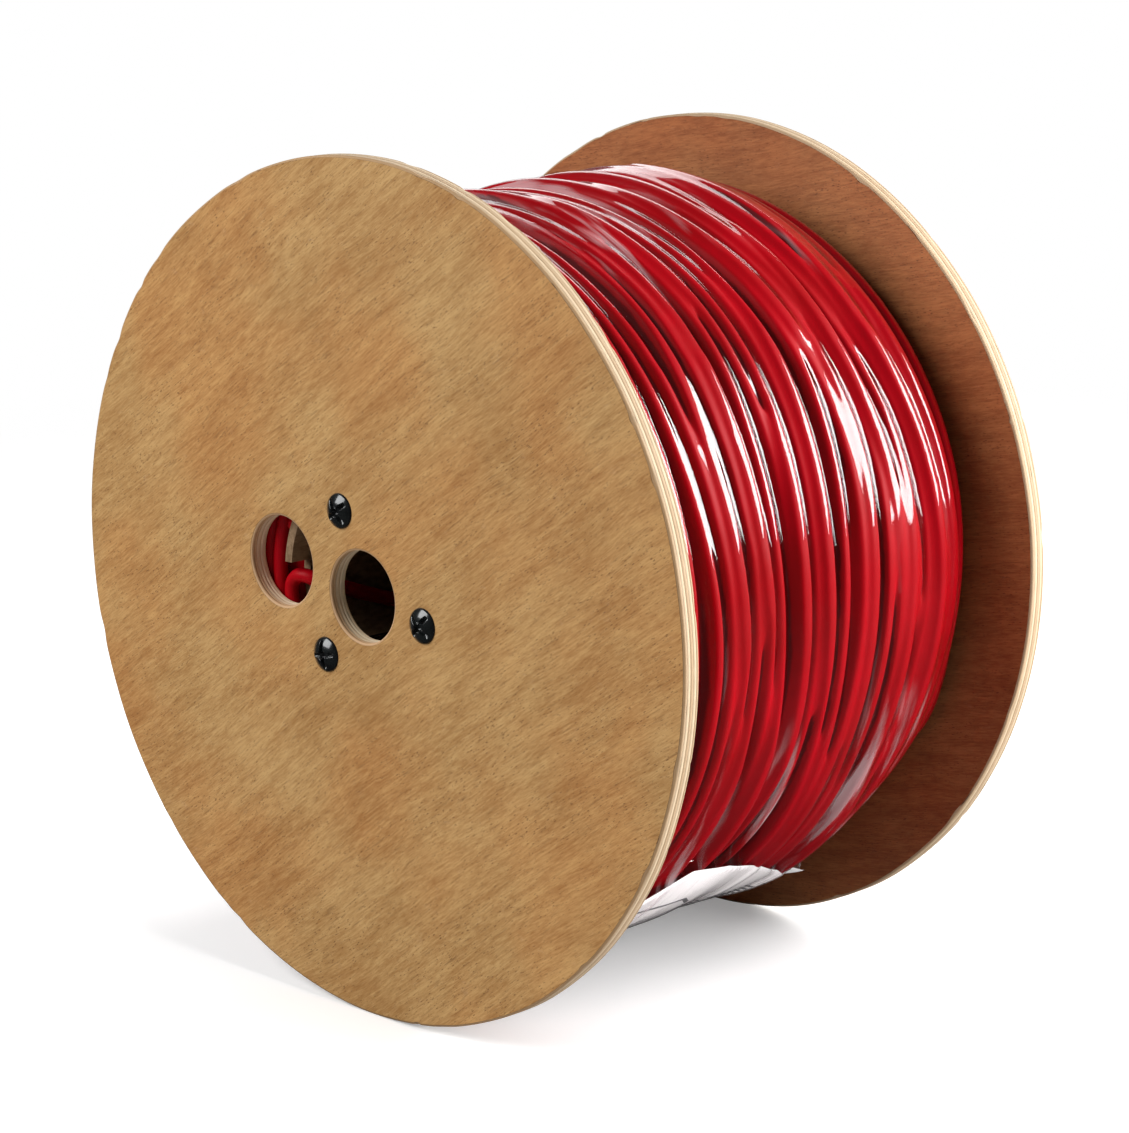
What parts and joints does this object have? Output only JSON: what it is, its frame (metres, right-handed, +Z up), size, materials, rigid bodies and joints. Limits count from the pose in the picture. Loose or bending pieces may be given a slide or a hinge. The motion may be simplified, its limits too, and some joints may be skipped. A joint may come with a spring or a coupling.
{
  "type": "wire spool",
  "caption": "Plywood cable spool: round flanges clamped on a core tube by tie bolts, wound with red two-conductor cable under clear stretch film.",
  "frame": {"origin": "centre of the spool on its axis, midway between the flanges' outer faces", "axes": "+Y along the arbor hole from the front flange to the rear one, +Z up, +X to the right seen from the front"},
  "size_m": [0.3556, 0.2217, 0.3556],
  "materials": {
    "plywood": "bare tropical veneer, pale sanded edges",
    "fibre_tube": "dull wound fibre board",
    "black_bolt": "glossy black zinc",
    "zinc_steel": "bright zinc",
    "cable_jacket": "glossy red jacket",
    "black_sleeve": "satin",
    "red_sleeve": "satin",
    "copper": "bright copper",
    "stretch_film": "clear glossy film, creased",
    "paper": "matt white sheet"
  },
  "bodies": {
    "root": {"front_flange": "plywood", "rear_flange": "plywood", "core_tube": "fibre_tube", "tie_bolt_1": "black_bolt", "tie_bolt_2": "black_bolt", "tie_bolt_3": "black_bolt", "tee_nut_1": "zinc_steel", "tee_nut_2": "zinc_steel", "tee_nut_3": "zinc_steel", "cable_winding": "cable_jacket", "start_end_jacket": "cable_jacket", "start_end_sleeve_a": "black_sleeve", "start_end_sleeve_b": "red_sleeve", "start_end_copper_a": "copper", "start_end_copper_b": "copper", "outer_end_jacket": "cable_jacket", "outer_end_sleeve_a": "black_sleeve", "outer_end_sleeve_b": "red_sleeve", "outer_end_copper_a": "copper", "outer_end_copper_b": "copper", "stretch_film": "stretch_film", "paper_label": "paper"}
  },
  "joints": []
}
